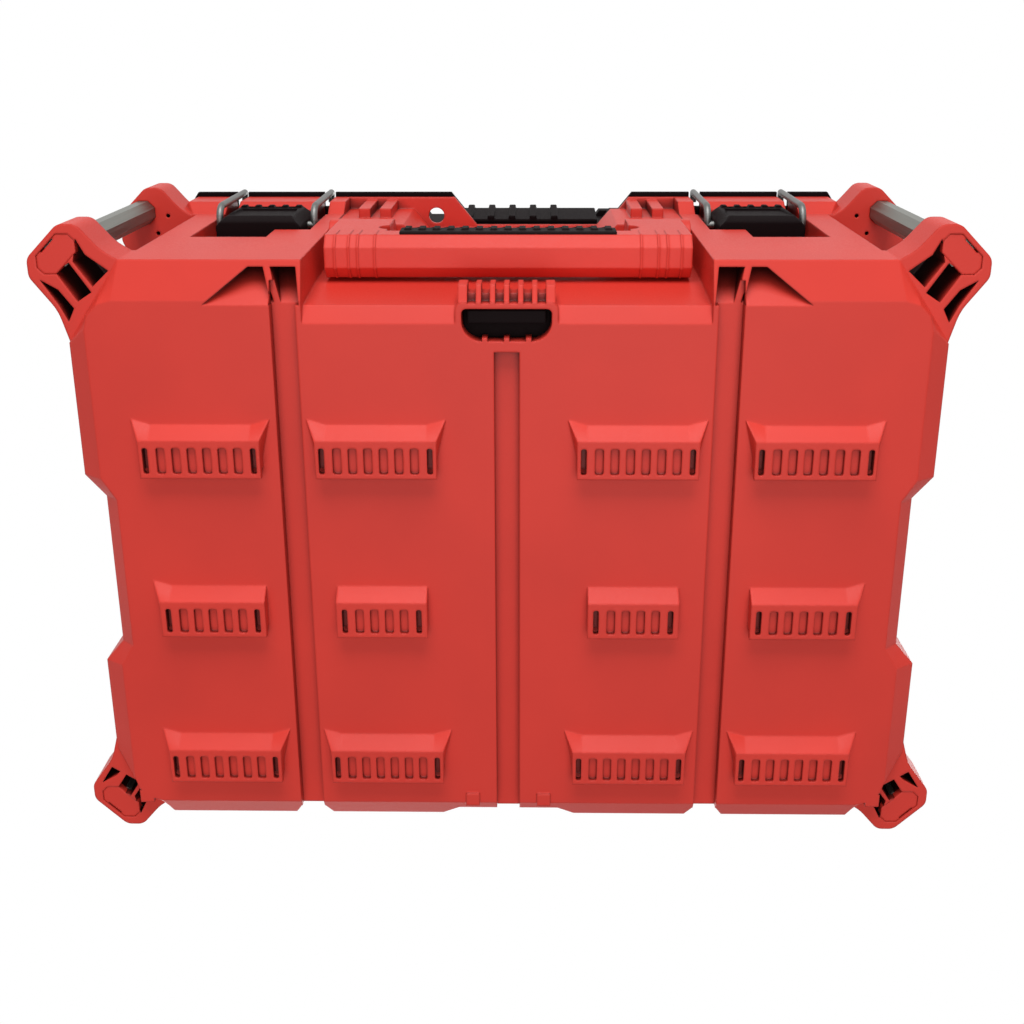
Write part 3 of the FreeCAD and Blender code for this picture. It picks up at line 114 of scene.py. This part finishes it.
def moulded(name, base, shade, hollow_shade, roughness, grain_mm, grain_depth_mm, specular):
    """Injection-moulded plastic: an even colour with faint flow clouds, and the mould's spark-eroded grain.

    The grain is a noise whose cells are grain_mm apart; it tints the roughness and lifts the surface.
    Corners catch the light as the small radius does that a mould leaves on every edge.
    Painted shade darkens the deep pockets: the colour goes to a dark shade colour where the piece's own
    walls, within the shade reach, hide the sky.
    """
    material, tree = blank_material(name)
    place = node(tree, "ShaderNodeTexCoord").outputs["Object"]
    clouds = noise(tree, place, CLOUD_MM, 3.0, 0.55)
    grain = noise(tree, place, grain_mm, 2.0, 0.6)
    tone = two_tone(tree, clouds, shade, base)
    # Painted shade: the colour darkens in pockets where the piece's own walls hide the sky
    sky = node(tree, "ShaderNodeAmbientOcclusion", samples=12, only_local=True, Distance=SHADE_REACH_MM * MM)
    painted_shade = node(tree, "ShaderNodeMapRange", {"Value": sky.outputs["AO"]}, From_Min=SHADED_SKY,
                From_Max=OPEN_SKY, To_Min=1.0, To_Max=0.0)
    colour = node(tree, "ShaderNodeMix", {0: painted_shade.outputs["Result"], 6: tone}, data_type="RGBA")
    colour.inputs[7].default_value = linear(hollow_shade)
    gloss = uneven_gloss(tree, grain, roughness - 0.05, roughness + 0.07)
    corner = node(tree, "ShaderNodeBevel", samples=6, Radius=MOULD_RADIUS_MM * MM)
    relief = node(tree, "ShaderNodeBump", {"Height": grain, "Normal": corner.outputs["Normal"]},
                  Strength=0.35, Distance=grain_depth_mm * MM)
    surface = node(tree, "ShaderNodeBsdfPrincipled",
                   {"Base Color": colour.outputs[2], "Roughness": gloss,
                    "Normal": relief.outputs["Normal"]}, IOR=1.5)
    surface.inputs["Specular IOR Level"].default_value = specular
    node(tree, "ShaderNodeOutputMaterial", {"Surface": surface.outputs["BSDF"]})
    return material


# How much of its own scale the noise keeps along the lines
STREAK_SQUEEZE = 0.02
STREAK_DEPTH_MM = 0.05


def drawn_metal(name, base, shade, roughness, streak_mm, along):
    """Bare metal with fine lines left by the die it was drawn through.

    The lines are a noise stretched along one axis, streak_mm wide across it.
    """
    material, tree = blank_material(name)
    place = node(tree, "ShaderNodeTexCoord").outputs["Object"]
    stretched = node(tree, "ShaderNodeMapping", {"Vector": place})
    stretched.inputs["Scale"].default_value = [STREAK_SQUEEZE if axis == along else 1.0 for axis in "XYZ"]
    lines = noise(tree, stretched.outputs["Vector"], streak_mm, 3.0, 0.6)
    gloss = uneven_gloss(tree, lines, roughness - 0.06, roughness + 0.08)
    relief = node(tree, "ShaderNodeBump", {"Height": lines}, Strength=0.2, Distance=STREAK_DEPTH_MM * MM)
    surface = node(tree, "ShaderNodeBsdfPrincipled",
                   {"Base Color": two_tone(tree, lines, shade, base), "Roughness": gloss,
                    "Normal": relief.outputs["Normal"]}, Metallic=1.0)
    node(tree, "ShaderNodeOutputMaterial", {"Surface": surface.outputs["BSDF"]})
    return material


# Polypropylene and ABS mouldings have a real grain of about 0.3 mm; it is drawn at 0.9 mm so that it shows.
# The third colour of each moulding is the painted shade in its deep pockets
RED = moulded("polypropylene_red", "#CC362B", "#C43329", "#240605", 0.46, 0.9, 0.12, 0.25)
BLACK = moulded("polypropylene_black", "#130B0C", "#0F0809", "#080505", 0.58, 0.9, 0.15, 0.035)
RUBBER = moulded("rubber_overmould", "#1F1717", "#181112", "#100B0B", 0.7, 0.7, 0.2, 0.07)
ALUMINIUM = drawn_metal("aluminium_extruded", "#888882", "#767670", 0.48, 0.8, "Z")
STEEL = drawn_metal("steel_zinc_plated", "#787876", "#666664", 0.46, 0.6, "X")
BLACKED = drawn_metal("steel_black_oxide", "#2B2B2C", "#222223", 0.42, 0.6, "X")

FINISH = {"moulded_red": RED, "moulded_black": BLACK, "soft_rubber": RUBBER, "bar_aluminium": ALUMINIUM,
          "steel": STEEL, "dark_steel": BLACKED}
SLOT_OF = {entry["node"]: entry["material_slot"] for entry in frame["record"]["subparts"]}
BODY_OF = {name: body for body, names in frame["record"]["behaviour"]["bodies"].items() for name in names}


def dress(piece, material):
    """Give a piece one material all over."""
    piece.data.materials.clear()
    piece.data.materials.append(material)


for name, solid in frame["nodes"].items():
    dress(solid, FINISH[SLOT_OF[name]])


def flat_patches(form, tolerance):
    """Groups of neighbouring faces that lie in one plane, found by walking over flat edges."""
    patches, seen = [], set()
    for start in form.faces:
        if start.index in seen:
            continue
        seen.add(start.index)
        patch, front = [start], [start]
        while front:
            face = front.pop()
            for edge in face.edges:
                if edge.tag:
                    continue
                for other in edge.link_faces:
                    if other.index not in seen and other.normal.dot(start.normal) > tolerance:
                        seen.add(other.index)
                        patch.append(other)
                        front.append(other)
        patches.append(patch)
    return patches


def rim_loops(patch):
    """The closed lines of edges round a patch, the outer one and one for each hole."""
    inside = set(patch)
    rim = [edge for face in patch for edge in face.edges if sum(f in inside for f in edge.link_faces) == 1]
    at = {}
    for edge in rim:
        for vert in edge.verts:
            at.setdefault(vert, []).append(edge)
    loops, used = [], set()
    for edge in rim:
        if edge in used:
            continue
        loop, front = [], [edge]
        used.add(edge)
        while front:
            one = front.pop()
            loop.append(one)
            for vert in one.verts:
                for other in at[vert]:
                    if other not in used:
                        used.add(other)
                        front.append(other)
        loops.append(loop)
    return loops


FLAT = math.cos(math.radians(0.3))
SAME_PLANE_MM = 0.02
ON_CUT_M = 1e-7


def whole_faces(form):
    """Turn loose triangles into whole flat faces; a patch with holes is first cut across each hole."""
    form.faces.index_update()
    cuts = []
    for patch in flat_patches(form, FLAT):
        loops = rim_loops(patch)
        if len(loops) < 2:
            continue
        spans = []
        for loop in loops:
            points = np.array([vert.co for edge in loop for vert in edge.verts])
            spans.append((points.min(0), points.max(0)))
        outer = max(range(len(spans)), key=lambda i: float(np.linalg.norm(spans[i][1] - spans[i][0])))
        normal = np.array(patch[0].normal)
        across = np.cross(normal, (0.0, 0.0, 1.0) if abs(normal[2]) < 0.9 else (0.0, 1.0, 0.0))
        across /= np.linalg.norm(across)
        for i, (low, high) in enumerate(spans):
            if i != outer:
                middle = (low + high) / 2
                cuts.append((patch[0].normal.copy(), patch[0].calc_center_median(), middle, across))
    for normal, foot, centre, across in cuts:
        depth = normal.dot(foot)
        faces = [f for f in form.faces if f.normal.dot(normal) > FLAT
                 and abs(normal.dot(f.calc_center_median()) - depth) < SAME_PLANE_MM * MM]
        parts = set(faces)
        for face in faces:
            parts.update(face.edges)
            parts.update(face.verts)
        made = bmesh.ops.bisect_plane(form, geom=list(parts), dist=ON_CUT_M, plane_co=centre,
                                      plane_no=across)
        for item in made["geom_cut"]:
            if isinstance(item, bmesh.types.BMEdge):
                item.tag = True
    form.faces.index_update()
    for patch in flat_patches(form, FLAT):
        if len(patch) > 1 and len(rim_loops(patch)) == 1:
            bmesh.ops.dissolve_faces(form, faces=patch, use_verts=False)


MERGE_MM = 0.002
SHARP = math.radians(28)


def soften(name, radius_mm, segments, shortest_mm):
    """Replace a solid by a merged copy whose sharp edges longer than shortest_mm are rounded."""
    source = frame["nodes"][name]
    mesh = source.data.copy()
    form = bmesh.new()
    form.from_mesh(mesh)
    bmesh.ops.remove_doubles(form, verts=form.verts, dist=MERGE_MM * MM)
    form.normal_update()
    whole_faces(form)
    weight = form.edges.layers.float.new("bevel_weight_edge")
    for edge in form.edges:
        sharp = len(edge.link_faces) == 2 and edge.calc_face_angle() > SHARP
        edge.smooth = not sharp
        if sharp and edge.calc_length() > shortest_mm * MM:
            edge[weight] = 1.0
    for face in form.faces:
        face.smooth = True
    form.to_mesh(mesh)
    form.free()
    piece = bpy.data.objects.new(name + "_moulding", mesh)
    scene.collection.objects.link(piece)
    rounding = piece.modifiers.new("rounding", "BEVEL")
    rounding.limit_method = "WEIGHT"
    rounding.width = radius_mm * MM
    rounding.segments = segments
    rounding.use_clamp_overlap = False
    rounding.harden_normals = True
    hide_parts(name)
    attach(piece, BODY_OF[name])


# Radius in mm, segments, and the shortest edge in mm that is rounded
SOFT = {"lid_grip": (0.8, 2, 2.0), "handle_grip": (0.5, 2, 1.5), "release_paddle": (0.8, 2, 2.0),
        "latch_lever_right": (0.8, 3, 2.5), "latch_lever_left": (0.8, 3, 2.5)}
for name, (radius, segments, shortest) in SOFT.items():
    soften(name, radius, segments, shortest)

# Camera: the photograph's place and lens, from the underside with the front edge up
PIXELS, SENSOR_MM, FOCAL_PIXELS, AXIS_ROW = 1024, 36.0, 1229.52, 443
PITCH, YAW, ROLL = (math.radians(a) for a in (18.5426, 0.85624, -0.12504))
CAMERA_MM = Vector((13.524, -309.486, -693.404))
turn = Matrix.Rotation(ROLL, 3, "Z") @ Matrix.Rotation(PITCH, 3, "X") @ Matrix.Rotation(YAW, 3, "Y")
right, down, ahead = turn.row[0], turn.row[1], turn.row[2]
lens = bpy.data.cameras.new("camera")
lens.sensor_width = SENSOR_MM
lens.lens = FOCAL_PIXELS * SENSOR_MM / PIXELS
lens.shift_y = (AXIS_ROW - PIXELS / 2) / PIXELS
lens.clip_start, lens.clip_end = 0.01, 50
camera = bpy.data.objects.new("camera", lens)
scene.collection.objects.link(camera)
facing = Matrix((right, -down, -ahead)).transposed().to_4x4()
camera.matrix_world = Matrix.Translation(CAMERA_MM * MM) @ facing
scene.camera = camera


CENTRE = Vector((0, 0, 0.1))


def lamp(name, place, size, watts):
    """A square white soft box at place, turned to the object's centre; metres and watts."""
    light = bpy.data.lights.new(name, "AREA")
    light.size = size
    light.energy = watts
    holder = bpy.data.objects.new(name, light)
    holder.location = place
    holder.rotation_euler = (CENTRE - Vector(place)).to_track_quat("-Z", "Y").to_euler()
    scene.collection.objects.link(holder)


lamp("front_softbox", (0, -1.9, -0.62), 1.2, 36)
lamp("under_softbox", (0.1, -0.2, -2.2), 1.8, 28)
lamp("top_softbox", (0.5, 0.7, 1.9), 1.6, 22)
lamp("rear_softbox", (-0.6, 1.6, 1.0), 1.4, 14)

# World: an even white surround, pure white where the camera or a reflection sees it
AMBIENT = 0.24
WHITE = linear("#FFFFFF")
world = bpy.data.worlds.new("studio")
scene.world = world
world.use_nodes = True
sky = world.node_tree
sky.nodes.clear()
rays = node(sky, "ShaderNodeLightPath")
mirrored = node(sky, "ShaderNodeMath", {0: rays.outputs["Is Glossy Ray"],
                                        1: rays.outputs["Is Transmission Ray"]}, operation="MAXIMUM")
seen = node(sky, "ShaderNodeMath", {0: rays.outputs["Is Camera Ray"], 1: mirrored.outputs["Value"]},
            operation="MAXIMUM")
ambient = node(sky, "ShaderNodeBackground", Strength=AMBIENT, Color=WHITE)
white = node(sky, "ShaderNodeBackground", Strength=1.0, Color=WHITE)
mixed = node(sky, "ShaderNodeMixShader", {0: seen.outputs["Value"], 1: ambient.outputs["Background"],
                                          2: white.outputs["Background"]})
node(sky, "ShaderNodeOutputWorld", {"Surface": mixed.outputs["Shader"]})

# Floor: a pale sheet that takes the shadow from above and is clear from below
FLOOR = 6.0
FADE_START, FADE_END = 0.5, 2.2
floor_mesh = bpy.data.meshes.new("floor")
floor_mesh.from_pydata([(-FLOOR, -FLOOR, 0), (FLOOR, -FLOOR, 0), (FLOOR, FLOOR, 0), (-FLOOR, FLOOR, 0)], [],
                       [(0, 1, 2, 3)])
floor = bpy.data.objects.new("floor", floor_mesh)
scene.collection.objects.link(floor)
floor.visible_shadow = floor.visible_diffuse = floor.visible_glossy = False
paper, sheet = blank_material("floor_paper")
side = node(sheet, "ShaderNodeNewGeometry")
matte = node(sheet, "ShaderNodeBsdfDiffuse", Color=linear("#F2F2F0"))
clear = node(sheet, "ShaderNodeBsdfTransparent")
# Far from the object, past its shadow, the sheet fades into the white surround
spot = node(sheet, "ShaderNodeTexCoord").outputs["Object"]
distance = node(sheet, "ShaderNodeVectorMath", {0: spot}, operation="LENGTH")
fade = node(sheet, "ShaderNodeMapRange", {"Value": distance.outputs["Value"]}, From_Min=FADE_START,
            From_Max=FADE_END, interpolation_type="SMOOTHSTEP")
glow = node(sheet, "ShaderNodeEmission", Strength=1.0, Color=WHITE)
paper.cycles.emission_sampling = "NONE"
ground = node(sheet, "ShaderNodeMixShader", {0: fade.outputs["Result"], 1: matte.outputs["BSDF"],
                                             2: glow.outputs["Emission"]})
either = node(sheet, "ShaderNodeMixShader", {0: side.outputs["Backfacing"], 1: ground.outputs["Shader"],
                                             2: clear.outputs["BSDF"]})
node(sheet, "ShaderNodeOutputMaterial", {"Surface": either.outputs["Shader"]})
dress(floor, paper)

bpy.context.view_layer.update()
